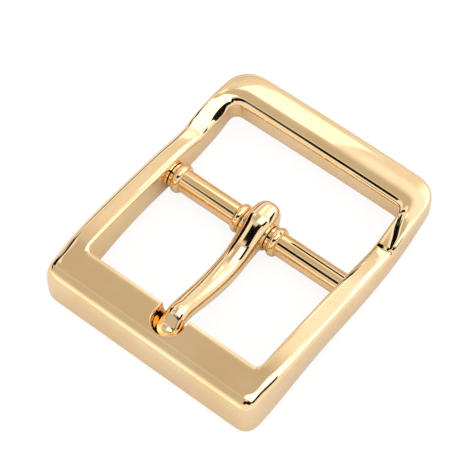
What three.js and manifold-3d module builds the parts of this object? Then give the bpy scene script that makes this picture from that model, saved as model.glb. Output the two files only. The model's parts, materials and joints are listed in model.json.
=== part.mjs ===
// Centre-bar prong buckle, cast and plated, for a flat strap 25 mm wide.
// A steel pin crosses the cast frame. It carries two turned sleeves, which the strap is
// folded round, and between them the closed eye of a cast prong, whose tip lies in a seat
// sunk into the front bar. Behind the pin the rails dip, twist and sweep up into a raised
// rear bar, which leaves room for the strap to run out underneath it.
// Millimetres. X runs along the pin, -Y towards the front bar, Z up; the origin is on the
// resting plane, under the middle of the frame's length and width.

import * as THREE from 'three';
import { LoftGeometry } from 'three/addons/geometries/LoftGeometry.js';
import { mergeVertices } from 'three/addons/utils/BufferGeometryUtils.js';
import Module from 'manifold-3d';

const wasm = await Module();
wasm.setup();

// ---- Driving dimensions -------------------------------------------------------------

// Plan of the frame.
const strapWidth = 25;
const windowLength = 27.6;
const frontBarWidth = 5.35;
const rearBarWidth = 5.05;
const railWidth = 2.85;
const outerFrontTaper = 0.15;
const outerRearTaper = 0.6;
const windowTaper = 0.25;
const rearBow = 0.15;
const outerFrontRadius = 1.4;
const outerRearRadius = 3.1;
const windowFrontRadius = 0.7;
const windowRearRadius = 1.1;

// Heights over the resting plane.
const frontHeight = 6.0;
const frontWindowHeight = 5.75;
const pinRailHeight = 4.65;
const dipHeight = 4.05;
const dipWindowHeight = 3.1;
const rearCrestHeight = 5.45;
const rearWindowHeight = 4.0;
const rearOuterHeight = 4.95;
const archHeight = 0.75;
const rearUnderside = 1.9;
const riserUndersideShare = 0.4;
const windowUndersideShare = 0.75;

// Where the heights are taken, measured from the pin's axis along the rails.
const archReach = 8.5;
const heelReach = 4.6;
const dipReach = 6.3;
const riseReach = 9.8;

// Small differences from those heights, and the crest's line up the riser.
const pinRailFall = 0.5;
const riserTopLift = 0.2;
const riserWindowLift = 0.15;
const riserCrestLift = 0.25;
const crestSag = 0.05;
const heelLift = 0.1;
const railCrestShare = 0.6;
const footSetback = 2.05;
const riserSetback = 1.25;
const rearSetback = 0.5;
const endSetback = 0.2;

// Edges.
const windowEdge = 0.3;
const rearWindowEdge = 0.12;
const bottomEdge = 0.25;
const frontRound = 1.9;
const railRound = 0.55;
const rearRound = 0.5;
const crown = 0.06;

// The pin and its two sleeves.
const pinSetback = 16.1;
const pinHeight = 1.98;
const pinRadius = 0.95;
const pinSocket = 1.9;
const pinRecess = 0.08;
const runningFit = 0.05;
const sleeveRadius = 1.46;
const beadRadius = 1.9;
const beadWidth = 1.1;
const collarRadius = 1.62;
const collarWidth = 0.35;
const endPlay = 0.1;

// The prong.
const eyeWidth = 3.7;
const eyeRadius = 1.92;
const headRadius = 2.3;
const headWidth = 3.9;
const headSetback = 0.95;
const headRise = 0.88;
const prongLowest = 1.66;
const neckHeightShare = 0.9;
const neckShare = 0.3;
const shankWidth = 3.2;
const shankHeight = 2.9;
const tipWidth = 2.75;
const tipHeight = 2.65;
const tipClearance = 0.08;
const tipOffset = 0.7;

// Heights of the prong's middle line along its bend, over its lowest one.
const kneeReach = 3.5;
const bendReach = 9.2;
const bendLift = 0.02;
const climbReach = 4.8;
const climbSag = 0.25;
const tipFall = 0.05;

// The seat for the prong's tip.
const seatRadius = 1.95;
const seatReach = 1.8;
const seatFloor = 3.25;
const seatEndPlay = 0.25;

// Facets.
const cornerSteps = 10;
const railSteps = 26;
const frontSteps = 6;
const rearSteps = 6;
const roundSteps = 4;
const edgeSteps = 2;
const topSteps = 5;
const beadSteps = 6;
const seatSteps = 8;
const prongSteps = 22;
const prongSides = 20;
const headSides = 32;
const turnSteps = 40;
const weldDistance = 1e-5;
const slopeStep = 0.05;

// ---- Places worked out from them ----------------------------------------------------

const frameLength = frontBarWidth + windowLength + rearBarWidth;
const frontY = -frameLength / 2;
const rearY = frameLength / 2;
const windowFrontY = frontY + frontBarWidth;
const windowRearY = rearY - rearBarWidth;
const windowHalf = strapWidth / 2;
const outerHalf = windowHalf + railWidth;
const pinY = windowFrontY + pinSetback;
const dipY = pinY + dipReach;
const heelY = pinY + heelReach;
const archY = pinY - archReach;
const riseY = pinY + riseReach;

// ---- Materials ----------------------------------------------------------------------

const plating = new THREE.MeshStandardMaterial({ color: 0xe3bf86, metalness: 1, roughness: 0.12 });
const pinSteel = new THREE.MeshStandardMaterial({ color: 0xb9b4a8, metalness: 1, roughness: 0.3 });

// ---- Helpers ------------------------------------------------------------------------

// A smooth height along Y through a few knots, each [y, height].
function heightAlong(knots) {
  const places = knots.map((knot) => knot[0]);
  const heights = knots.map((knot) => knot[1]);
  const curve = new THREE.CubicInterpolant(places, heights, 1);
  return (y) => curve.evaluate(y)[0];
}

function toSolid(geometry) {
  const bare = new THREE.BufferGeometry();
  bare.setAttribute('position', geometry.attributes.position);
  bare.setIndex(geometry.index);
  const merged = mergeVertices(bare, weldDistance);
  return new wasm.Manifold(new wasm.Mesh({
    numProp: 3,
    vertProperties: merged.attributes.position.array,
    triVerts: new Uint32Array(merged.index.array),
  }));
}

function toMesh(name, solid, material) {
  const surface = solid.getMesh();
  const geometry = new THREE.BufferGeometry();
  geometry.setAttribute('position', new THREE.BufferAttribute(surface.vertProperties, 3));
  geometry.setIndex(new THREE.BufferAttribute(surface.triVerts, 1));
  geometry.computeVertexNormals();
  const mesh = new THREE.Mesh(geometry, material);
  mesh.name = name;
  return mesh;
}

// A cylinder along X from one x to another, on the pin's axis.
function pinCylinder(radius, fromX, toX) {
  const cylinder = new THREE.CylinderGeometry(radius, radius, toX - fromX, turnSteps);
  cylinder.rotateZ(-Math.PI / 2);
  cylinder.translate((fromX + toX) / 2, pinY, pinHeight);
  return toSolid(cylinder);
}

// ---- The frame ----------------------------------------------------------------------

// Height lines of the frame: the top at its outer edge and at the window, the crest of
// the raised rear bar, how far the crest stands back from the window, and the underside.
const outerTop = heightAlong([
  [frontY, frontHeight],
  [windowFrontY, frontHeight],
  [pinY, pinRailHeight],
  [dipY, dipHeight],
  [riseY, dipHeight + riserTopLift],
  [rearY, rearOuterHeight],
]);
const windowTop = heightAlong([
  [windowFrontY, frontWindowHeight],
  [pinY, pinRailHeight - pinRailFall],
  [dipY, dipWindowHeight],
  [riseY, rearWindowHeight + riserWindowLift],
  [windowRearY, rearWindowHeight],
]);
const crestTop = heightAlong([
  [heelY, dipHeight + crestSag],
  [dipY, dipHeight + riserTopLift],
  [riseY, (dipHeight + rearCrestHeight) / 2 + riserCrestLift],
  [windowRearY, rearCrestHeight - crestSag],
  [rearY, rearCrestHeight],
]);
const crestSetback = heightAlong([
  [heelY, footSetback],
  [dipY, footSetback],
  [riseY, riserSetback],
  [windowRearY, rearSetback],
  [rearY, endSetback],
]);
const rawUnderside = heightAlong([
  [windowFrontY, 0],
  [archY, archHeight],
  [heelY, 0],
  [dipY, heelLift],
  [riseY, rearUnderside * riserUndersideShare],
  [windowRearY, rearUnderside * windowUndersideShare],
  [rearY - rearBarWidth / 2, rearUnderside],
]);
const underside = (y) => Math.max(0, rawUnderside(y));

// How far the top has changed from the crowned rail (0) to the hollow riser (1).
const hollow = (y) => THREE.MathUtils.smoothstep(y, pinY, riseY);

// The outward round of the top edge: wide along the front bar, narrow elsewhere.
function outerRound(y) {
  const towardsRail = THREE.MathUtils.smoothstep(y, frontY, frontY + frontBarWidth);
  const towardsRear = THREE.MathUtils.smoothstep(y, windowRearY, rearY);
  const front = THREE.MathUtils.lerp(frontRound, railRound, towardsRail);
  return THREE.MathUtils.lerp(front, rearRound, towardsRear);
}

// Where a ray from (x, y) at an angle leaves the outer outline before it is bowed.
function outlineHit(x, y, angle, endY, radius) {
  const dx = Math.cos(angle);
  const dy = Math.sin(angle);
  const sideReach = dx > 1e-9 ? (outerHalf - x) / dx : Infinity;
  const endReach = Math.abs(dy) > 1e-9 ? (endY - y) / dy : Infinity;
  const reach = Math.min(sideReach, endReach > 0 ? endReach : Infinity);
  const centreX = outerHalf - radius;
  const centreY = endY - Math.sign(endY) * radius;
  const hit = new THREE.Vector2(x + dx * reach, y + dy * reach);
  const inCorner = hit.x > centreX && Math.abs(hit.y) > Math.abs(centreY);
  if (!inCorner) {
    return hit;
  }
  const fromCentre = new THREE.Vector2(x - centreX, y - centreY);
  const along = fromCentre.x * dx + fromCentre.y * dy;
  const across = fromCentre.lengthSq() - radius * radius;
  const arcReach = -along + Math.sqrt(along * along - across);
  return new THREE.Vector2(x + dx * arcReach, y + dy * arcReach);
}

// The pairs of plan points, window edge and outer edge, from the middle of the front bar
// round the right rail to the middle of the rear bar.
function planPairs() {
  const pairs = [];
  const pair = (innerX, innerY, outerX, outerY) => pairs.push({
    inner: new THREE.Vector2(innerX, innerY),
    outer: new THREE.Vector2(outerX, outerY),
  });
  const corner = (endY, windowEndY, windowRadius, radius, fromAngle, toAngle) => {
    const centreX = windowHalf - windowRadius;
    const centreY = windowEndY - Math.sign(windowEndY) * windowRadius;
    for (let step = 0; step <= cornerSteps; step += 1) {
      const angle = THREE.MathUtils.lerp(fromAngle, toAngle, step / cornerSteps);
      const hit = outlineHit(centreX, centreY, angle, endY, radius);
      pair(centreX + windowRadius * Math.cos(angle), centreY + windowRadius * Math.sin(angle), hit.x, hit.y);
    }
  };
  for (let step = 0; step < frontSteps; step += 1) {
    const x = (windowHalf - windowFrontRadius) * (step / frontSteps);
    pair(x, windowFrontY, x, frontY);
  }
  corner(frontY, windowFrontY, windowFrontRadius, outerFrontRadius, -Math.PI / 2, 0);
  const railStart = windowFrontY + windowFrontRadius;
  const railEnd = windowRearY - windowRearRadius;
  for (let step = 1; step < railSteps; step += 1) {
    const y = THREE.MathUtils.lerp(railStart, railEnd, step / railSteps);
    pair(windowHalf, y, outerHalf, y);
  }
  corner(rearY, windowRearY, windowRearRadius, outerRearRadius, 0, Math.PI / 2);
  for (let step = 1; step <= rearSteps; step += 1) {
    const x = (windowHalf - windowRearRadius) * (1 - step / rearSteps);
    pair(x, windowRearY, x, rearY);
  }
  return pairs;
}

// The sides draw in a little towards both ends, and the rear end bows outwards.
function bow(point, frontTaper, rearTaper) {
  const alongFrame = point.y / rearY;
  const acrossFrame = point.x / outerHalf;
  const taper = alongFrame < 0 ? frontTaper : rearTaper;
  const x = point.x * (1 - (taper / outerHalf) * alongFrame * alongFrame);
  const y = point.y - rearBow * Math.max(0, alongFrame) * acrossFrame * acrossFrame;
  return new THREE.Vector2(x, y);
}

// One cross-section of the frame between a window point and its outer point.
function frameSection(pairOfPoints, mirrorX) {
  const inner = bow(pairOfPoints.inner, windowTaper, windowTaper);
  const outer = bow(pairOfPoints.outer, outerFrontTaper, outerRearTaper);
  const width = inner.distanceTo(outer);
  const points = [];
  const put = (across, height) => {
    const flat = inner.clone().lerp(outer, across / width);
    points.push(new THREE.Vector3(mirrorX * flat.x, flat.y, height));
  };
  const lowInner = underside(inner.y);
  const lowOuter = underside(outer.y);
  const isRear = THREE.MathUtils.smoothstep(inner.y, riseY, windowRearY);
  const edge = THREE.MathUtils.lerp(windowEdge, rearWindowEdge, isRear);
  const round = outerRound(outer.y);
  const topInner = windowTop(inner.y);
  const raised = THREE.MathUtils.smoothstep(outer.y, pinY, dipY);
  const plateauEnd = width - round;
  const crestAt = THREE.MathUtils.lerp(plateauEnd * railCrestShare, crestSetback(outer.y), raised);
  const topOuter = outerTop(outer.y);
  const topCrest = THREE.MathUtils.lerp(topOuter + crown, crestTop(outer.y), raised);

  put(0, lowInner + bottomEdge);
  put(0, topInner - edge);
  for (let step = 1; step <= edgeSteps; step += 1) {
    const turn = (step / edgeSteps) * (Math.PI / 2);
    put(edge * (1 - Math.cos(turn)), topInner - edge * (1 - Math.sin(turn)));
  }
  const bend = THREE.MathUtils.lerp(-1, 1, hollow(inner.y));
  for (let step = 1; step <= topSteps; step += 1) {
    const part = step / topSteps;
    const shaped = part + bend * (part * part - part);
    put(THREE.MathUtils.lerp(edge, crestAt, part), THREE.MathUtils.lerp(topInner, topCrest, shaped));
  }
  for (let step = 1; step <= topSteps; step += 1) {
    const part = step / topSteps;
    const fall = THREE.MathUtils.lerp(part * part, part, raised);
    put(THREE.MathUtils.lerp(crestAt, plateauEnd, part), THREE.MathUtils.lerp(topCrest, topOuter, fall));
  }
  for (let step = 1; step <= roundSteps; step += 1) {
    const turn = (step / roundSteps) * (Math.PI / 2);
    put(plateauEnd + round * Math.sin(turn), topOuter - round * (1 - Math.cos(turn)));
  }
  put(width, lowOuter + bottomEdge);
  put(width - bottomEdge, lowOuter);
  put(bottomEdge, lowInner);
  return points;
}

function frameSolid() {
  const pairs = planPairs();
  const rightHalf = pairs.map((pairOfPoints) => frameSection(pairOfPoints, 1));
  const leftHalf = pairs.slice(1, -1).reverse().map((pairOfPoints) => frameSection(pairOfPoints, -1));
  const sections = [...rightHalf, ...leftHalf, rightHalf[0]];
  const casting = toSolid(new LoftGeometry(sections));

  // The pin goes in through the left rail and ends in a blind socket in the right rail.
  const bore = pinCylinder(pinRadius + runningFit, -outerHalf - 1, windowHalf + pinSocket + runningFit);

  // The seat is a round-ended trough, open towards the window.
  const trough = new THREE.CapsuleGeometry(seatRadius, 2 * seatReach + seatRadius, seatSteps, turnSteps);
  trough.translate(tipOffset, windowFrontY + seatRadius / 2, seatFloor + seatRadius);
  return casting.subtract(bore).subtract(toSolid(trough));
}

// ---- The pin and its sleeves --------------------------------------------------------

function pinSolid() {
  return pinCylinder(pinRadius, -outerHalf + pinRecess, windowHalf + pinSocket);
}

const sleeveLength = windowHalf - eyeWidth / 2 - 2 * endPlay;

// A sleeve reaches from the prong's eye to its rail. It has a bead by the eye, behind a
// collar of its own width, and the left one has a second bead and collar by its rail.
function sleeveSolid(side, eyeCollar, hasRailBead) {
  const bore = pinRadius + runningFit;
  const half = sleeveLength / 2;
  const profile = [new THREE.Vector2(bore, -half)];
  const bead = (from, to) => {
    for (let step = 0; step <= beadSteps; step += 1) {
      const turn = (step / beadSteps) * Math.PI;
      profile.push(new THREE.Vector2(
        sleeveRadius + (beadRadius - sleeveRadius) * Math.sin(turn),
        THREE.MathUtils.lerp(from, to, (1 - Math.cos(turn)) / 2),
      ));
    }
  };
  if (eyeCollar > 0) {
    profile.push(new THREE.Vector2(collarRadius, -half));
    profile.push(new THREE.Vector2(collarRadius, -half + eyeCollar));
  }
  bead(-half + eyeCollar, -half + eyeCollar + beadWidth);
  if (hasRailBead) {
    bead(half - collarWidth - beadWidth, half - collarWidth);
    profile.push(new THREE.Vector2(collarRadius, half - collarWidth));
    profile.push(new THREE.Vector2(collarRadius, half));
  } else {
    profile.push(new THREE.Vector2(sleeveRadius, half));
  }
  profile.push(new THREE.Vector2(bore, half));
  profile.push(new THREE.Vector2(bore, -half));
  const sleeve = new THREE.LatheGeometry(profile, turnSteps);
  sleeve.rotateZ(-side * Math.PI / 2);
  sleeve.translate(side * (eyeWidth / 2 + endPlay + half), pinY, pinHeight);
  return toSolid(sleeve);
}

// ---- The prong ----------------------------------------------------------------------

const tipY = windowFrontY - seatReach + seatEndPlay;
const tipZ = seatFloor + tipClearance + tipHeight / 2;
const headY = pinY + headSetback;
const headZ = pinHeight + headRise;
const prongLine = heightAlong([
  [tipY, tipZ],
  [windowFrontY, tipZ + tipFall],
  [windowFrontY + climbReach, (tipZ + prongLowest) / 2 - climbSag],
  [windowFrontY + bendReach, prongLowest + bendLift],
  [pinY - kneeReach, prongLowest],
  [headY, headZ],
]);

function prongSolid() {
  const sections = [];
  for (let step = 0; step <= prongSteps; step += 1) {
    const part = step / prongSteps;
    const y = THREE.MathUtils.lerp(headY, tipY, part);
    const z = prongLine(y);
    const rise = prongLine(y - slopeStep) - prongLine(y + slopeStep);
    const tilt = Math.atan(rise / (2 * slopeStep));
    const x = tipOffset * part;
    const neck = 1 - THREE.MathUtils.smoothstep(part, 0, neckShare);
    const narrowed = THREE.MathUtils.smoothstep(part, neckShare, 1);
    const neckWidth = (headWidth - shankWidth) * neck;
    const neckHeight = (2 * headRadius * neckHeightShare - shankHeight) * neck;
    const width = THREE.MathUtils.lerp(shankWidth, tipWidth, narrowed) + neckWidth;
    const height = THREE.MathUtils.lerp(shankHeight, tipHeight, narrowed) + neckHeight;
    const section = [];
    for (let turn = 0; turn < prongSides; turn += 1) {
      const angle = (turn / prongSides) * 2 * Math.PI;
      const across = (width / 2) * Math.cos(angle);
      const lift = (height / 2) * Math.sin(angle);
      section.push(new THREE.Vector3(x + across, y + lift * Math.sin(tilt), z + lift * Math.cos(tilt)));
    }
    sections.push(section);
  }
  const shank = toSolid(new LoftGeometry(sections, { capStart: true, capEnd: true }));
  const head = new THREE.SphereGeometry(1, headSides, headSides / 2);
  head.scale(headWidth / 2, headRadius, headRadius);
  head.translate(0, headY, headZ);
  const tip = new THREE.SphereGeometry(1, prongSides, prongSides / 2);
  tip.scale(tipWidth / 2, tipHeight / 2, tipHeight / 2);
  tip.translate(tipOffset, tipY, tipZ);
  const barrel = pinCylinder(eyeRadius, -eyeWidth / 2, eyeWidth / 2);
  const bore = pinCylinder(pinRadius + runningFit, -headWidth, headWidth);
  return shank.add(toSolid(head)).add(toSolid(tip)).add(barrel).subtract(bore);
}

// ---- The buckle ---------------------------------------------------------------------

const buckle = new THREE.Group();
buckle.add(toMesh('frame', frameSolid(), plating));
buckle.add(toMesh('centre_pin', pinSolid(), pinSteel));
buckle.add(toMesh('left_sleeve', sleeveSolid(-1, 0, true), plating));
buckle.add(toMesh('right_sleeve', sleeveSolid(1, collarWidth, false), plating));
buckle.add(toMesh('prong', prongSolid(), plating));

export default buckle;
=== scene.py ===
import json
import math

import bmesh
import bpy
import numpy as np
from mathutils import Matrix, Vector


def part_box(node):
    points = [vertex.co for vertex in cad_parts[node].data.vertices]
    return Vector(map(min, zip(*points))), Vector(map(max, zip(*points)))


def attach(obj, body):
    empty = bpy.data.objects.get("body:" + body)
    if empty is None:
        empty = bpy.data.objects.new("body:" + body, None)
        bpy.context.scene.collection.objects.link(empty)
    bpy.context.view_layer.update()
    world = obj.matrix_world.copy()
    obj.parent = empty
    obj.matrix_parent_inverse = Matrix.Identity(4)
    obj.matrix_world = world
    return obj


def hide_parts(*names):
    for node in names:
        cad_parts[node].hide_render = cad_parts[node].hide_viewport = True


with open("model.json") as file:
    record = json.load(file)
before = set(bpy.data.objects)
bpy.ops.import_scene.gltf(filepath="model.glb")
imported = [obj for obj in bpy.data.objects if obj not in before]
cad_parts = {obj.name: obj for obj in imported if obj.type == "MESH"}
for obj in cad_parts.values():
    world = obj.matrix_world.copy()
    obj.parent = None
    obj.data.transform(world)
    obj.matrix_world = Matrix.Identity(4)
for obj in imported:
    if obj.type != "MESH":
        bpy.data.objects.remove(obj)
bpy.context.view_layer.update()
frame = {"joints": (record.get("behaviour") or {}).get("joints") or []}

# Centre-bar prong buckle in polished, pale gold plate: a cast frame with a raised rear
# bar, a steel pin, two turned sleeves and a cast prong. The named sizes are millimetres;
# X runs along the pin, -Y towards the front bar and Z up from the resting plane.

MM = 0.001


# ---- Sizes ------------------------------------------------------------------------

frame_low, frame_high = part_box("frame")
pin_low, pin_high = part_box("centre_pin")
hinge = next(joint for joint in frame["joints"] if joint["name"] == "prong_hinge")

FRONT = frame_low[1] / MM
REAR = frame_high[1] / MM
HALF_WIDTH = frame_high[0] / MM
PIN_Y = hinge["pos_m"][1] / MM
PIN_Z = hinge["pos_m"][2] / MM
PIN_RADIUS = (pin_high[2] - pin_low[2]) / 2 / MM

FRONT_BAR = 5.35
REAR_BAR = 5.05
RAIL = 2.85
WINDOW_FRONT = FRONT + FRONT_BAR
WINDOW_REAR = REAR - REAR_BAR
WINDOW_HALF = HALF_WIDTH - RAIL

FRONT_CORNER = 1.4
REAR_CORNER = 3.1
WINDOW_FRONT_CORNER = 0.7
WINDOW_REAR_CORNER = 1.1
FRONT_TAPER = 0.15
REAR_TAPER = 0.6
WINDOW_TAPER = 0.25
REAR_BOW = 0.15

DIP = PIN_Y + 6.3
RISE = PIN_Y + 9.8
HEEL = PIN_Y + 4.6
ARCH = PIN_Y - 8.5

RUNNING_FIT = 0.05
TIP_OFFSET = 0.7
UNDERSIDE_EDGE = 0.3

SEAT_RADIUS = 1.95
SEAT_FLOOR = 3.25
SEAT_RIM = 6.05
SEAT_REACH = 1.8
SEAT_INSET = 0.3

SLEEVE_RADIUS = 1.46
COLLAR_RADIUS = 1.62
BEAD_RADIUS = 1.9
BEAD_WIDTH = 1.1
COLLAR_LENGTH = 0.35

HEAD_HALF_WIDTH = 1.95
HEAD_RADIUS = 2.3
NECK_HALF_WIDTH = 1.6
TIP_RADIUS = 1.375
TIP_CAP = 1.325
TIP_UNDERSIDE = 3.33
TIP_REACH = 1.55
EYE_RADIUS = 1.92
EYE_HALF_WIDTH = 1.85
EYE_EDGE = 0.25


# ---- Mesh helpers -----------------------------------------------------------------

def smooth_line(knots):
    """A line through a few knots, each (place, value), with no break in its curvature."""
    places = np.array([knot[0] for knot in knots], float)
    values = np.array([knot[1] for knot in knots], float)
    step = np.diff(places)
    count = len(places)
    matrix = np.eye(count)
    slopes = np.zeros(count)
    for i in range(1, count - 1):
        matrix[i, i - 1:i + 2] = step[i - 1], 2 * (step[i - 1] + step[i]), step[i]
        change = (values[i + 1] - values[i]) / step[i] - (values[i] - values[i - 1]) / step[i - 1]
        slopes[i] = 6 * change
    bend = np.linalg.solve(matrix, slopes)

    def at(place):
        place = min(max(place, places[0]), places[-1])
        i = min(int(np.searchsorted(places, place, side="right")) - 1, count - 2)
        left, right, gap = places[i + 1] - place, place - places[i], step[i]
        return (
            (bend[i] * left ** 3 + bend[i + 1] * right ** 3) / (6 * gap)
            + (values[i] / gap - bend[i] * gap / 6) * left
            + (values[i + 1] / gap - bend[i + 1] * gap / 6) * right
        )

    return at


def level_line(knots):
    """A line through knots that never swings past them, and is level at both ends."""
    places = [knot[0] for knot in knots]
    values = [knot[1] for knot in knots]
    rises = [(b - a) / (q - p) for a, b, p, q in zip(values, values[1:], places, places[1:])]
    slopes = [0] + [2 * a * b / (a + b) if a * b > 0 else 0 for a, b in zip(rises, rises[1:])] + [0]

    def at(place):
        place = min(max(place, places[0]), places[-1])
        i = min(max(int(np.searchsorted(places, place, side="right")) - 1, 0), len(rises) - 1)
        gap = places[i + 1] - places[i]
        part = (place - places[i]) / gap
        return (
            mix(values[i], values[i + 1], part * part * (3 - 2 * part))
            + gap * part * (1 - part) * (slopes[i] * (1 - part) - slopes[i + 1] * part)
        )

    return at


def ease(low, high, place):
    """0 below low, 1 above high, and a smooth change between them."""
    part = min(max((place - low) / (high - low), 0), 1)
    return part * part * (3 - 2 * part)


def mix(first, second, part):
    return first + (second - first) * part


def finish_mesh(name, bm, body, node, material, creases=35):
    """Turns a bmesh in millimetres into a smooth piece that stands for a CAD node."""
    bmesh.ops.scale(bm, vec=(MM, MM, MM), verts=bm.verts)
    bmesh.ops.recalc_face_normals(bm, faces=bm.faces)
    mesh = bpy.data.meshes.new(name)
    bm.to_mesh(mesh)
    bm.free()
    piece = bpy.data.objects.new(name, mesh)
    bpy.context.scene.collection.objects.link(piece)
    mesh.shade_smooth()
    mesh.set_sharp_from_angle(angle=math.radians(creases))
    mesh.materials.append(material)
    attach(piece, body)
    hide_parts(node)
    return piece


def subdivided(bm, levels):
    """The bmesh after Catmull-Clark subdivision, as a new bmesh."""
    return with_modifier(bm, "SUBSURF", levels=levels, render_levels=levels)


def cut(bm, tool, operation="DIFFERENCE"):
    """The bmesh after an exact Boolean with another one, which is used up."""
    tool_object = loose_object(tool)
    made = with_modifier(bm, "BOOLEAN", object=tool_object, operation=operation, solver="EXACT")
    mesh = tool_object.data
    bpy.data.objects.remove(tool_object)
    bpy.data.meshes.remove(mesh)
    return made


def loose_object(bm):
    bmesh.ops.recalc_face_normals(bm, faces=bm.faces)
    mesh = bpy.data.meshes.new("loose")
    bm.to_mesh(mesh)
    bm.free()
    made = bpy.data.objects.new("loose", mesh)
    bpy.context.scene.collection.objects.link(made)
    return made


def with_modifier(bm, kind, **settings):
    holder = loose_object(bm)
    modifier = holder.modifiers.new("shape", kind)
    for setting, value in settings.items():
        setattr(modifier, setting, value)
    graph = bpy.context.evaluated_depsgraph_get()
    shaped = bmesh.new()
    shaped.from_object(holder, graph)
    mesh = holder.data
    bpy.data.objects.remove(holder)
    bpy.data.meshes.remove(mesh)
    return shaped


def swept(rings, closed):
    """Extrudes a ring of points from place to place. A closed sweep meets itself; an
    open one is closed with a pole at each end."""
    bm = bmesh.new()
    made = bmesh.ops.create_circle(bm, segments=len(rings[0]), radius=1)
    loop = made["verts"]
    edges = list(bm.edges)
    first_edges = edges
    for corner, place in zip(loop, rings[0]):
        corner.co = place
    for ring in rings[1:]:
        grown = bmesh.ops.extrude_edge_only(bm, edges=edges)["geom"]
        edges = [item for item in grown if isinstance(item, bmesh.types.BMEdge)
                 and all(v in grown for v in item.verts)]
        loop = next_loop(loop, grown)
        edges = loop_edges(bm, loop)
        for corner, place in zip(loop, ring):
            corner.co = place
    if closed:
        bmesh.ops.bridge_loops(bm, edges=first_edges + edges)
    else:
        for rim in (first_edges, edges):
            filled = bmesh.ops.contextual_create(bm, geom=rim)["faces"]
            bmesh.ops.poke(bm, faces=filled)
    return bm


def next_loop(loop, grown):
    """The extruded copies of a loop's corners, in the loop's own order."""
    new = {item for item in grown if isinstance(item, bmesh.types.BMVert)}
    return [next(edge.other_vert(corner) for edge in corner.link_edges
                 if edge.other_vert(corner) in new) for corner in loop]


def loop_edges(bm, loop):
    return [bm.edges.get((loop[i - 1], loop[i])) for i in range(len(loop))]


def turned(profile, steps=96):
    """Spins a profile of (radius, place along X) round the pin's axis."""
    bm = bmesh.new()
    corners = [bm.verts.new((place, PIN_Y, PIN_Z + radius)) for radius, place in profile]
    for first, second in zip(corners, corners[1:]):
        bm.edges.new((first, second))
    bmesh.ops.spin(bm, geom=bm.verts[:] + bm.edges[:], cent=(0, PIN_Y, PIN_Z), axis=(1, 0, 0),
                   dvec=(0, 0, 0), angle=2 * math.pi, steps=steps, use_merge=True)
    bmesh.ops.remove_doubles(bm, verts=bm.verts, dist=1e-4)
    return bm


def rounded(profile, size, steps=4):
    """A profile with each inner corner rounded off by up to the given size."""
    soft = [profile[0]]
    for before, corner, after in zip(profile, profile[1:], profile[2:]):
        before, corner, after = Vector(before), Vector(corner), Vector(after)
        start = corner + (before - corner).normalized() * min(size, (before - corner).length / 2)
        end = corner + (after - corner).normalized() * min(size, (after - corner).length / 2)
        for step in range(steps + 1):
            part = step / steps
            soft.append(tuple(start.lerp(corner, part).lerp(corner.lerp(end, part), part)))
    return soft + [profile[-1]]


# ---- Materials --------------------------------------------------------------------

def linear(hex_colour):
    """An sRGB hex colour as linear RGBA."""
    parts = [int(hex_colour[i:i + 2], 16) / 255 for i in (1, 3, 5)]
    return [part / 12.92 if part <= 0.04045 else ((part + 0.055) / 1.055) ** 2.4 for part in parts] + [1]


def add_node(material, kind, inputs=(), **settings):
    """Adds a node, sets its properties, and sets or links its inputs."""
    tree = material.node_tree
    made = tree.nodes.new(kind)
    for name, value in settings.items():
        setattr(made, name, value)
    for name, value in dict(inputs).items():
        if isinstance(value, bpy.types.NodeSocket):
            tree.links.new(value, made.inputs[name])
        else:
            made.inputs[name].default_value = value
    return made


def new_material(name):
    material = bpy.data.materials.new(name)
    material.use_nodes = True
    material.node_tree.nodes.clear()
    return material


def ranged(material, value, start, end, low, high):
    """A node output moved from start..end to low..high, with soft ends."""
    return add_node(material, "ShaderNodeMapRange", {
        "Value": value, "From Min": start, "From Max": end, "To Min": low, "To Max": high},
        interpolation_type="SMOOTHSTEP").outputs[0]


def combined(material, first, second, operation):
    return add_node(material, "ShaderNodeMath", {0: first, 1: second}, operation=operation).outputs[0]


def streaks(material, coordinates, width, length, angle=0.0):
    """Noise drawn out into lines, with the width and length of a line in millimetres."""
    laid = add_node(material, "ShaderNodeMapping", {
        "Vector": coordinates, "Rotation": (0, 0, angle), "Scale": (1 / length, 1 / width, 1 / width)})
    return add_node(material, "ShaderNodeTexNoise", {
        "Vector": laid.outputs[0], "Scale": 1 / MM, "Detail": 3.0, "Roughness": 0.6}).outputs["Fac"]


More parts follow.
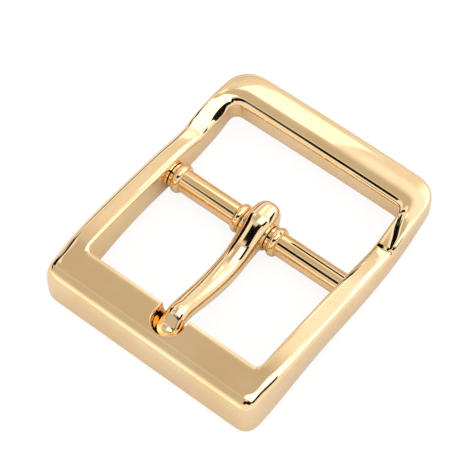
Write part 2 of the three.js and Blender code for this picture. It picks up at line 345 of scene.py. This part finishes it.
def gold_plate(name, deep, pale, smooth, dull, line_width, line_length, line_angle, line_depth,
               wear_and_painted_shade=0.0):
    """Thin gold plate. It clouds between a deep and a pale tone over about six
    millimetres, is duller in hollows and underneath, and keeps the fine lines that
    the work before plating left; line_depth is in millimetres. Wear rubs its edges pale,
    and the hollows get painted shade, a darker brown gold in place of the shade that falls
    there; the last argument scales both the rubbed edges and the painted hollow shade."""
    material = new_material(name)
    coordinates = add_node(material, "ShaderNodeTexCoord").outputs["Object"]
    clouds = add_node(material, "ShaderNodeTexNoise", {
        "Vector": coordinates, "Scale": 1 / (6 * MM), "Detail": 4.0, "Roughness": 0.55}).outputs["Fac"]
    tone = add_node(material, "ShaderNodeValToRGB", {"Fac": clouds})
    tone.color_ramp.elements[0].position = 0.3
    tone.color_ramp.elements[0].color = linear(deep)
    tone.color_ramp.elements[1].position = 0.7
    tone.color_ramp.elements[1].color = linear(pale)
    edges = add_node(material, "ShaderNodeNewGeometry").outputs["Pointiness"]
    worn = ranged(material, edges, 0.53, 0.62, 0.0, 0.5 * wear_and_painted_shade)
    # Painted shade: this hollow mask darkens hollows towards #C9975A below, standing in for the shade in
    # recesses, and also roughens them.
    painted_hollow_shade = ranged(material, edges, 0.47, 0.38, 0.0, 0.5 * wear_and_painted_shade)
    rubbed = add_node(material, "ShaderNodeMix", {
        "Factor": worn, "A": tone.outputs["Color"], "B": linear("#FFE9C8")}, data_type="RGBA")
    colour = add_node(material, "ShaderNodeMix", {
        "Factor": painted_hollow_shade, "A": rubbed.outputs["Result"], "B": linear("#C9975A")}, data_type="RGBA")

    lines = streaks(material, coordinates, line_width, line_length, line_angle)
    height = add_node(material, "ShaderNodeSeparateXYZ", {0: coordinates}).outputs["Z"]
    under = ranged(material, height, 0.9 * MM, 0.1 * MM, 0.0, 0.22)
    roughness = combined(material, ranged(material, clouds, 0.3, 0.7, smooth, dull),
                         ranged(material, lines, 0.55, 0.8, 0.0, 0.04), "ADD")
    roughness = combined(material, roughness, combined(material, painted_hollow_shade, under, "MAXIMUM"), "ADD")
    relief = add_node(material, "ShaderNodeBump", {
        "Height": lines, "Strength": 1.0, "Distance": line_depth * MM})
    shader = add_node(material, "ShaderNodeBsdfPrincipled", {
        "Base Color": colour.outputs["Result"], "Metallic": 1.0, "Roughness": roughness,
        "Normal": relief.outputs["Normal"]})
    add_node(material, "ShaderNodeOutputMaterial", {"Surface": shader.outputs["BSDF"]})
    return material


# ---- The frame --------------------------------------------------------------------

outer_top = {
    1: level_line([(FRONT, 5.88), (WINDOW_FRONT, 6.0), (PIN_Y, 4.7), (DIP - 0.4, 3.98), (DIP + 0.05, 4.22),
                   (DIP + 1.15, 4.62), (RISE - 0.45, 4.9), (WINDOW_REAR, 4.98), (REAR, 4.95)]),
    -1: level_line([(FRONT, 5.88), (WINDOW_FRONT, 6.0), (PIN_Y, 4.7), (DIP - 1.6, 4.05), (DIP + 0.55, 4.3),
                    (DIP + 1.65, 4.56), (RISE - 0.45, 4.82), (WINDOW_REAR, 4.98), (REAR, 4.95)])}
window_top = smooth_line([(WINDOW_FRONT, 5.75), (PIN_Y, 4.15), (DIP - 0.4, 3.1), (DIP + 0.6, 3.15),
                          (RISE, 3.85), (WINDOW_REAR, 4.0)])
underside = smooth_line([(WINDOW_FRONT, 0), (ARCH, 0.75), (HEEL, 0), (DIP, 0.1), (RISE, 0.76),
                         (WINDOW_REAR, 1.42), (REAR - REAR_BAR / 2, 1.9)])
outer_round = level_line([(FRONT, 1.9), (FRONT + 0.6, 1.9), (WINDOW_FRONT + 2, 0.95), (DIP - 1.5, 0.9),
                          (DIP + 0.55, 0.5), (RISE, 0.55), (REAR, 0.75)])

# The scooped risers: seven points across the top, from the window, at places along the rail.
RIGHT_SCOOP = (
    (DIP - 0.40, (0.10, 3.30), (0.45, 3.62), (0.80, 3.69), (1.25, 3.76), (1.70, 3.83),
     (2.00, 3.89), (2.20, 3.93)),
    (DIP + 0.00, (0.10, 3.48), (0.45, 3.82), (0.80, 3.89), (1.25, 3.96), (1.76, 4.03),
     (2.08, 4.18), (2.24, 4.22)),
    (DIP + 1.15, (0.08, 3.68), (0.40, 3.98), (0.72, 4.04), (1.10, 4.11), (1.50, 4.18),
     (1.94, 4.55), (2.20, 4.61)),
    (RISE - 0.45, (0.07, 4.02), (0.28, 4.24), (0.42, 4.28), (0.56, 4.31), (0.70, 4.35),
     (1.22, 4.79), (1.52, 4.87)),
    (WINDOW_REAR - 0.75, (0.06, 4.22), (0.16, 4.42), (0.24, 4.46), (0.34, 4.51), (0.46, 4.57), (0.90, 4.88),
     (1.30, 4.98)),
)
LEFT_SCOOP = (
    (DIP - 0.85, (0.10, 3.34), (0.45, 3.66), (0.80, 3.74), (1.25, 3.80), (1.70, 3.87),
     (2.00, 3.93), (2.20, 3.97)),
    (DIP + 0.55, (0.08, 3.50), (0.38, 3.74), (0.60, 3.88), (1.02, 4.01), (1.50, 4.12),
     (2.00, 4.25), (2.25, 4.32)),
    (DIP + 1.65, (0.10, 3.62), (0.40, 3.83), (0.76, 4.08), (1.12, 4.21), (1.55, 4.33),
     (2.00, 4.47), (2.27, 4.55)),
    (RISE - 0.45, (0.10, 3.86), (0.45, 4.10), (0.85, 4.38), (1.18, 4.50), (1.55, 4.60),
     (1.95, 4.72), (2.25, 4.80)),
    (WINDOW_REAR - 0.75, (0.08, 4.20), (0.28, 4.40), (0.56, 4.60), (0.85, 4.75), (1.20, 4.87), (1.60, 4.95),
     (2.00, 4.98)),
)


def lines_along(rows):
    return [[level_line([(row[0], row[point][axis]) for row in rows]) for axis in (0, 1)]
            for point in range(1, 8)]


scoops = {side: (rows[0][0], rows[-1][0], lines_along(rows))
          for side, rows in ((1, RIGHT_SCOOP), (-1, LEFT_SCOOP))}
DOME = ((0.06, 4.25), (0.22, 4.52), (0.48, 4.74), (0.80, 4.92), (1.30, 5.03), (2.20, 5.10), (3.30, 5.09))


def outline_hit(x, y, angle, end, radius):
    """Where a ray from a window corner leaves the frame's rounded outline."""
    along, up = math.cos(angle), math.sin(angle)
    side_reach = (HALF_WIDTH - x) / along if along > 1e-9 else math.inf
    end_reach = (end - y) / up if abs(up) > 1e-9 and (end - y) / up > 0 else math.inf
    reach = min(side_reach, end_reach)
    hit = Vector((x + along * reach, y + up * reach))
    centre = Vector((HALF_WIDTH - radius, end - math.copysign(radius, end)))
    if hit.x > centre.x and abs(hit.y) > abs(centre.y):
        start = Vector((x, y)) - centre
        forward = start.x * along + start.y * up
        reach = -forward + math.sqrt(forward ** 2 - start.length_squared + radius ** 2)
        hit = Vector((x + along * reach, y + up * reach))
    return hit


def plan_pairs():
    """Window and outer points of the right half, from the front bar's middle to the rear's."""
    pairs = []

    def corner(end, window_end, window_radius, radius, first, last, steps=8):
        x = WINDOW_HALF - window_radius
        y = window_end - math.copysign(window_radius, window_end)
        for step in range(steps + 1):
            angle = mix(first, last, step / steps)
            inner = Vector((x + window_radius * math.cos(angle), y + window_radius * math.sin(angle)))
            pairs.append((inner, outline_hit(x, y, angle, end, radius)))

    bar_steps = 5
    rail_places = []
    for start, end, count in ((WINDOW_FRONT + WINDOW_FRONT_CORNER, DIP - 1.6, 13), (DIP - 1.6, DIP - 0.6, 3),
                              (DIP - 0.6, DIP + 0.4, 6), (DIP + 0.4, WINDOW_REAR - WINDOW_REAR_CORNER, 11)):
        rail_places += list(np.linspace(start, end, count + 1)[1:])
    rail_places.pop()
    for step in range(bar_steps):
        x = (WINDOW_HALF - WINDOW_FRONT_CORNER) * step / bar_steps
        pairs.append((Vector((x, WINDOW_FRONT)), Vector((x, FRONT))))
    corner(FRONT, WINDOW_FRONT, WINDOW_FRONT_CORNER, FRONT_CORNER, -math.pi / 2, 0)
    for y in rail_places:
        pairs.append((Vector((WINDOW_HALF, y)), Vector((HALF_WIDTH, y))))
    corner(REAR, WINDOW_REAR, WINDOW_REAR_CORNER, REAR_CORNER, 0, math.pi / 2)
    for step in range(1, bar_steps + 1):
        x = (WINDOW_HALF - WINDOW_REAR_CORNER) * (1 - step / bar_steps)
        pairs.append((Vector((x, WINDOW_REAR)), Vector((x, REAR))))
    return pairs


def drawn_in(point, front_taper, rear_taper):
    """The sides draw in a little towards both ends, and the rear end bows outwards."""
    along = point.y / REAR
    taper = front_taper if along < 0 else rear_taper
    x = point.x * (1 - taper / HALF_WIDTH * along ** 2)
    return Vector((x, point.y - REAR_BOW * max(0, along) * (point.x / HALF_WIDTH) ** 2))


def top_points(place, side, wall, edge_height, shoulder):
    """Seven points across the top, from the window's edge to the outer shoulder."""
    edge = mix(0.38, 0.6, ease(WINDOW_FRONT, PIN_Y, place))
    height = edge_height + 0.03
    plain = [(0.25 * edge, mix(wall, height, 0.65)), (edge, height)]
    plain += [(mix(edge, shoulder, part), mix(height, edge_height, part))
              for part in (0.2, 0.4, 0.6, 0.8, 0.92)]
    start, end, lines_across = scoops[side]
    scoop = [tuple(line(place) for line in lines) for lines in lines_across]
    dome = [(across if across < 1 else across * shoulder / (REAR_BAR - 0.75), at) for across, at in DOME]
    at_scoop = ease(start - 2.5, start, place)
    at_rear = ease(end, WINDOW_REAR - 0.05, place)
    return [tuple(mix(mix(a, b, at_scoop), c, at_rear) for a, b, c in zip(first, second, third))
            for first, second, third in zip(plain, scoop, dome)]


def frame_ring(inner, outer, side):
    """The control points of one cross-section, from the window's foot over the top."""
    inner = drawn_in(inner, WINDOW_TAPER, WINDOW_TAPER)
    outer = drawn_in(outer, FRONT_TAPER, REAR_TAPER)
    width = (outer - inner).length
    foot, outer_foot = max(0, underside(inner.y)), max(0, underside(outer.y))
    wall, edge_height = window_top(inner.y), outer_top[side](outer.y)
    size = outer_round(outer.y)
    shoulder = width - size
    low = UNDERSIDE_EDGE
    points = [(low, foot), (0, foot + low), (0, mix(foot, wall, 0.6)), (0, wall)]
    points += top_points(inner.y, side, wall, edge_height, shoulder)
    for turn in (0, 30, 60, 90):
        turn = math.radians(turn)
        points.append((shoulder + size * math.sin(turn), edge_height - size * (1 - math.cos(turn))))
    points += [(width, mix(outer_foot, edge_height - size, 0.5)), (width, outer_foot + low),
               (width - low, outer_foot)]
    return [(side * (inner.x + (outer.x - inner.x) * across / width),
             inner.y + (outer.y - inner.y) * across / width, height) for across, height in points]


def seat_cutter():
    """A round-ended trough with a softened rim, open towards the window."""
    radius, floor, rim = SEAT_RADIUS, SEAT_FLOOR, SEAT_RIM
    end = WINDOW_FRONT - SEAT_REACH + SEAT_INSET
    profile = [(radius * math.sin(a), floor + radius * (1 - math.cos(a)))
               for a in np.linspace(0, math.pi / 2, 13)]
    profile += [(radius, rim - 0.5), (radius + 0.03, rim - 0.34), (radius + 0.1, rim - 0.2),
                (radius + 0.22, rim - 0.09), (radius + 0.34, rim - 0.03), (radius + 0.5, rim + 0.05),
                (radius + 0.5, rim + 1.5), (0, rim + 1.5)]
    bm = bmesh.new()
    corners = [bm.verts.new((TIP_OFFSET + x, end, z)) for x, z in profile]
    for first, second in zip(corners, corners[1:]):
        bm.edges.new((first, second))
    bmesh.ops.spin(bm, geom=bm.verts[:] + bm.edges[:], cent=(TIP_OFFSET, end, 0), axis=(0, 0, -1),
                   dvec=(0, 0, 0), angle=math.pi, steps=32)
    bmesh.ops.remove_doubles(bm, verts=bm.verts, dist=1e-4)
    rim_edges = [edge for edge in bm.edges if edge.is_boundary]
    grown = bmesh.ops.extrude_edge_only(bm, edges=rim_edges)["geom"]
    moved = [item for item in grown if isinstance(item, bmesh.types.BMVert)]
    bmesh.ops.translate(bm, vec=(0, 4, 0), verts=moved)
    bmesh.ops.holes_fill(bm, edges=[edge for edge in bm.edges if edge.is_boundary], sides=0)
    return bm


def pin_bore(start, end):
    radius = PIN_RADIUS + RUNNING_FIT
    return turned([(0, start), (radius, start), (radius, end), (0, end)], 64)


def make_frame(material):
    pairs = plan_pairs()
    right = [frame_ring(inner, outer, 1) for inner, outer in pairs]
    left = [frame_ring(inner, outer, -1) for inner, outer in reversed(pairs[1:-1])]
    casting = subdivided(swept(right + left, closed=True), 2)
    casting = cut(casting, seat_cutter())
    casting = cut(casting, pin_bore(-HALF_WIDTH - 1, pin_high[0] / MM + RUNNING_FIT))
    return finish_mesh("polished_frame", casting, "buckle_frame", "frame", material)


# ---- The pin and its sleeves --------------------------------------------------------

def make_pin(material):
    start, end, radius = pin_low[0] / MM, pin_high[0] / MM, PIN_RADIUS
    profile = rounded([(0, start), (radius, start), (radius, end), (0, end)], 0.15)
    return finish_mesh("steel_pin", turned(profile), "buckle_frame", "centre_pin", material)


def bead(low, high, foot, crown, steps=12):
    """A half-round bead from low to high along the sleeve."""
    return [(foot + (crown - foot) * math.sin(a), mix(low, high, (1 - math.cos(a)) / 2))
            for a in np.linspace(0, math.pi, steps + 1)]


def make_sleeve(node, side, eye_collar, rail_collar, material):
    low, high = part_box(node)
    near, far = sorted((abs(low[0]) / MM, abs(high[0]) / MM))
    bore, wall, collar = PIN_RADIUS + RUNNING_FIT, SLEEVE_RADIUS, COLLAR_RADIUS
    crown, width = BEAD_RADIUS, BEAD_WIDTH
    profile = [(bore, near)]
    if eye_collar:
        profile += [(collar, near), (collar, near + eye_collar)]
    profile += bead(near + eye_collar, near + eye_collar + width, wall, crown)
    if rail_collar:
        profile += bead(far - rail_collar - width, far - rail_collar, wall, crown)
        profile += [(collar, far - rail_collar), (collar, far)]
    else:
        profile += [(wall, far)]
    profile += [(bore, far), (bore, near)]
    profile = [(radius, side * place) for radius, place in profile]
    body = node + "_body"
    return finish_mesh("turned_" + node, turned(profile), body, node, material)


# ---- The prong --------------------------------------------------------------------

def make_prong(material):
    head = Vector((0, PIN_Y + 0.95, PIN_Z + 0.88))
    seat, tip_end = TIP_UNDERSIDE, WINDOW_FRONT - TIP_REACH
    top = smooth_line([(tip_end, 4.95), (WINDOW_FRONT - 0.3, 5.72), (WINDOW_FRONT + 0.5, 5.88),
                       (WINDOW_FRONT + 1.6, 5.5), (WINDOW_FRONT + 4.8, 4.15), (-4.5, 2.98), (-2.3, 3.04),
                       (-1.2, 3.32), (1.5, 4.66), (2.3, 4.95), (head.y, 4.88)])
    bottom = smooth_line([(tip_end, seat), (WINDOW_FRONT + 0.3, seat),
                          (WINDOW_FRONT + 4.8, 1.6), (-4.5, 0.28), (PIN_Y - 3.5, 0.21), (1.2, 0.35),
                          (head.y, 0.68)])
    rings = []

    def ring(x, y, low, high, half_width, square, sides=16):
        """One upright cross-section: a circle when square is 1, with flatter faces below 1."""
        corners = []
        for side in range(sides):
            a = 2 * math.pi * side / sides
            across = math.copysign(abs(math.cos(a)) ** square, math.cos(a)) * half_width
            up = math.copysign(abs(math.sin(a)) ** square, math.sin(a)) * (high - low) / 2
            corners.append((x + across, y, (low + high) / 2 + up))
        rings.append(corners)

    for a in (10, 30, 50, 70):
        size = math.sin(math.radians(a)) ** 0.8
        back = HEAD_RADIUS * math.cos(math.radians(a))
        middle = (bottom(head.y) + top(head.y)) / 2
        ring(0, head.y + back, mix(middle, bottom(head.y), size),
             min(mix(middle, top(head.y), size) + 0.25, top(head.y) - 0.12 * back),
             HEAD_HALF_WIDTH * size, 0.8)
    steps = 22
    for step in range(steps + 1):
        part = step / steps
        y = mix(head.y, tip_end, part)
        neck, narrowed = 1 - ease(0, 0.3, part), ease(0.3, 1, part)
        half_width = (mix(NECK_HALF_WIDTH, TIP_RADIUS, narrowed)
                      + (HEAD_HALF_WIDTH - NECK_HALF_WIDTH) * neck)
        square = (0.8 + 0.2 * ease(2.6, 1.6, y) - 0.12 * ease(-2.5, -4.5, y)
                  + 0.12 * ease(-10.5, -12.5, y))
        ring(TIP_OFFSET * part, y, bottom(y), top(y), half_width, square)
    for a in (62, 36, 12):
        size = math.sin(math.radians(a))
        middle = (seat + top(tip_end)) / 2
        ring(TIP_OFFSET, tip_end - TIP_CAP * math.cos(math.radians(a)), mix(middle, seat, size),
             mix(middle, top(tip_end), size), TIP_RADIUS * size, 1.0)
    casting = subdivided(swept(rings, closed=False), 3)
    barrel = turned(rounded([(0, -EYE_HALF_WIDTH), (EYE_RADIUS, -EYE_HALF_WIDTH),
                             (EYE_RADIUS, EYE_HALF_WIDTH), (0, EYE_HALF_WIDTH)], EYE_EDGE), 64)
    casting = cut(casting, barrel, "UNION")
    casting = cut(casting, pin_bore(-3, 3))
    return finish_mesh("cast_prong", casting, "prong_body", "prong", material)


# ---- Light, floor and camera ------------------------------------------------------

SENSOR_WIDTH = 36
FOCAL_RATIO = (1978, 456)
CAMERA_PLACE = (71.26, -94.48, 201.73)
CAMERA_ELEVATION = 58.913
CAMERA_AZIMUTH = 38.004


def flat_panel(name, left, right, front, back, height, material):
    """A flat stage panel between four edges, in metres."""
    bm = bmesh.new()
    bmesh.ops.create_grid(bm, x_segments=1, y_segments=1, size=0.5)
    bmesh.ops.scale(bm, vec=(right - left, back - front, 1), verts=bm.verts)
    bmesh.ops.translate(bm, vec=((left + right) / 2, (front + back) / 2, height), verts=bm.verts)
    mesh = bpy.data.meshes.new(name)
    bm.to_mesh(mesh)
    bm.free()
    mesh.materials.append(material)
    panel = bpy.data.objects.new(name, mesh)
    bpy.context.scene.collection.objects.link(panel)
    return panel


def lay_floor():
    """A white studio table. It keeps the buckle's soft shadow, and is lifted to white."""
    material = new_material("white_studio_table")
    path = add_node(material, "ShaderNodeLightPath")
    lifted = add_node(material, "ShaderNodeMath", {
        0: path.outputs["Is Camera Ray"], 1: 0.8}, operation="MULTIPLY")
    matt = add_node(material, "ShaderNodeBsdfDiffuse", {"Color": linear("#F2F2F2")})
    white = add_node(material, "ShaderNodeEmission", {"Color": linear("#FFFFFF"), "Strength": 1.08})
    both = add_node(material, "ShaderNodeMixShader", {
        0: lifted.outputs[0], 1: matt.outputs[0], 2: white.outputs[0]})
    add_node(material, "ShaderNodeOutputMaterial", {"Surface": both.outputs[0]})
    return flat_panel("studio_table", -3, 3, -3, 3, 0, material)


def soft_edge(material, place, start, end):
    """0 at start, 1 at end, and a smooth change between them."""
    return add_node(material, "ShaderNodeMapRange", {"Value": place, "From Min": start, "From Max": end},
                    interpolation_type="SMOOTHSTEP").outputs[0]


def reflection_card(name, edges, height, colour, strength, soft=(0, 0, 0, 0)):
    """A card over the table that only polished surfaces see. Its left, right, front and
    back edges are slopes from the buckle, and so are the widths over which they fade."""
    left, right, front, back = (edge * height for edge in edges)
    fades = [max(width, 1e-3) * height for width in soft]
    material = new_material(name)
    place = add_node(material, "ShaderNodeTexCoord")
    axes = add_node(material, "ShaderNodeSeparateXYZ", {0: place.outputs["Object"]})
    across, along = axes.outputs["X"], axes.outputs["Y"]
    cover = None
    for value, start, end in ((across, left, left + fades[0]), (across, right, right - fades[1]),
                              (along, front, front + fades[2]), (along, back, back - fades[3])):
        edge = soft_edge(material, value, start, end)
        cover = edge if cover is None else add_node(
            material, "ShaderNodeMath", {0: cover, 1: edge}, operation="MULTIPLY").outputs[0]
    glow = add_node(material, "ShaderNodeEmission", {"Color": linear(colour), "Strength": strength})
    clear = add_node(material, "ShaderNodeBsdfTransparent")
    both = add_node(material, "ShaderNodeMixShader", {0: cover, 1: clear.outputs[0], 2: glow.outputs[0]})
    add_node(material, "ShaderNodeOutputMaterial", {"Surface": both.outputs[0]})
    only_reflected(flat_panel(name, left, right, front, back, height, material))


def only_reflected(card):
    card.visible_camera = False
    card.visible_diffuse = False
    card.visible_shadow = False


def front_card():
    """A low card in front of the buckle that brightens with distance from it."""
    material = new_material("front_card")
    place = add_node(material, "ShaderNodeTexCoord")
    axes = add_node(material, "ShaderNodeSeparateXYZ", {0: place.outputs["Object"]})
    graded = add_node(material, "ShaderNodeMapRange", {
        "Value": axes.outputs["Y"], "From Min": -0.030, "From Max": -0.060,
        "To Min": 0.62, "To Max": 1.3}, interpolation_type="SMOOTHSTEP")
    glow = add_node(material, "ShaderNodeEmission", {
        "Color": linear("#FFFAF2"), "Strength": graded.outputs[0]})
    add_node(material, "ShaderNodeOutputMaterial", {"Surface": glow.outputs[0]})
    only_reflected(flat_panel("front_card", -0.06, 0.0135, -0.09, -0.0216, 0.021, material))


def near_card(name, edges, height):
    """A small black card close to the buckle, mirrored only by the slope beside it."""
    material = new_material(name)
    glow = add_node(material, "ShaderNodeEmission", {"Color": linear("#0A0704"), "Strength": 1.0})
    add_node(material, "ShaderNodeOutputMaterial", {"Surface": glow.outputs[0]})
    only_reflected(flat_panel(name, *edges, height, material))


def set_world():
    world = bpy.data.worlds.new("white_studio")
    bpy.context.scene.world = world
    world.use_nodes = True
    world.node_tree.nodes["Background"].inputs["Color"].default_value = linear("#FFFFFF")
    world.node_tree.nodes["Background"].inputs["Strength"].default_value = 1.0


def place_cards():
    reflection_card("cream_ceiling", (-1.25, 1.0, -0.45, 2.2), 0.62, "#CDC6BA", 1.0, (0.3, 0.3, 0.3, 0.6))
    reflection_card("overhead_edge", (-1.3, 1.2, 0.36, 2.6), 0.61, "#FFFAF2", 0.95, (0.9, 0.2, 0.24, 0.6))
    reflection_card("overhead_softbox", (-0.3, 1.2, 0.42, 2.6), 0.60, "#FFFFFF", 2.2, (0.5, 0.2, 0.25, 0.9))
    reflection_card("side_softbox", (-0.18, 1.2, -0.25, 0.6), 0.59, "#FFFFFF", 2.2, (0.12, 0.2, 0.05, 0.2))
    reflection_card("facet_softbox", (-1.3, -0.6, 0.02, 0.5), 0.585, "#FFFFFF", 1.15, (0.2, 0.2, 0.1, 0.2))
    reflection_card("rear_softbox", (-0.52, 0.5, 0.34, 0.9), 0.15, "#FFFFFF", 1.15, (0.3, 0.1, 0.3, 0.2))
    reflection_card("black_flag", (0.2, 0.95, -0.75, -0.28), 0.58, "#050505", 1.0, (0.02, 0, 0.05, 0.03))
    reflection_card("black_screen", (-0.52, 0.3, -1.05, -0.36), 0.578, "#0A0704", 1.0, (0.1, 0, 0.1, 0.1))
    reflection_card("right_flag", (0.65, 1.35, -0.34, 0.4), 0.57, "#050505", 1.0, (0.05, 0, 0.05, 0.02))
    reflection_card("rear_flag", (-1.9, 0.5, 3.2, 5.2), 0.30, "#7D776C", 1.0, (0.3, 0.3, 0.3, 0.5))
    reflection_card("left_flag", (-5.0, -2.2, 1.0, 5.0), 0.20, "#1C1916", 1.0, (0.5, 0.2, 0.3, 0.5))
    reflection_card("left_screen", (-3.8, -1.35, -2.4, 0.6), 0.09, "#050505", 1.0, (0.3, 0.15, 0.1, 0.08))
    reflection_card("low_screen", (-16.0, -3.4, -2.4, 1.6), 0.08, "#050505", 1.0, (0.5, 0.3, 0.1, 0.3))
    reflection_card("front_strip", (-3.5, 0.2, -9, -1.9), 0.10, "#FFF6EA", 1.6, (0.5, 0.1, 1.5, 0.4))
    reflection_card("head_softbox", (-0.62, -0.28, 0.6, 1.3), 0.065, "#FFFFFF", 1.6, (0.03, 0.03, 0.03, 0.1))
    near_card("hook_card", (0.003, 0.0113, 0.0056, 0.0084), 0.0075)
    front_card()


def place_camera():
    data = bpy.data.cameras.new("camera")
    data.sensor_width = SENSOR_WIDTH
    data.lens = SENSOR_WIDTH * FOCAL_RATIO[0] / FOCAL_RATIO[1]
    camera = bpy.data.objects.new("camera", data)
    bpy.context.scene.collection.objects.link(camera)
    camera.location = Vector(CAMERA_PLACE) * MM
    camera.rotation_euler = (math.radians(90 - CAMERA_ELEVATION), 0, math.radians(CAMERA_AZIMUTH))
    data.clip_start = 0.01
    data.clip_end = 20
    bpy.context.scene.camera = camera


# Polished zinc under pale gold: a wet-looking mirror with hair-fine buffing along the bars.
polished_frame = gold_plate("polished_gold_plated_zinc", "#F8D6A4", "#FDE0B5", 0.045,
                            0.085, 0.06, 5, 0.0, 0.00004,
                            wear_and_painted_shade=1.0)
# The prong is tumbled before plating: a touch softer, with lines running along it.
tumbled_prong = gold_plate("tumbled_gold_plated_zinc", "#F8D6A4", "#FDE0B5", 0.06, 0.10,
                           0.08, 3, 1.57, 0.00005,
                           wear_and_painted_shade=0.6)
# Drawn steel wire under gold: slightly paler and cooler, with draw lines along the pin.
drawn_pin = gold_plate("gold_plated_drawn_steel", "#F6D7AA", "#FBE2BF", 0.07, 0.12, 0.05,
                       8, 0.0, 0.00006)
# Lathe-turned brass under gold: rings round the sleeve that stretch its highlights.
turned_sleeve = gold_plate("gold_plated_turned_brass", "#F7D29B", "#FCDDAE", 0.05, 0.09,
                           0.07, 2, 1.57, 0.00006)

make_frame(polished_frame)
make_pin(drawn_pin)
make_sleeve("left_sleeve", -1, 0, COLLAR_LENGTH, turned_sleeve)
make_sleeve("right_sleeve", 1, COLLAR_LENGTH, 0, turned_sleeve)
make_prong(tumbled_prong)
lay_floor()
set_world()
place_cards()
place_camera()
bpy.context.scene.view_settings.view_transform = "Standard"
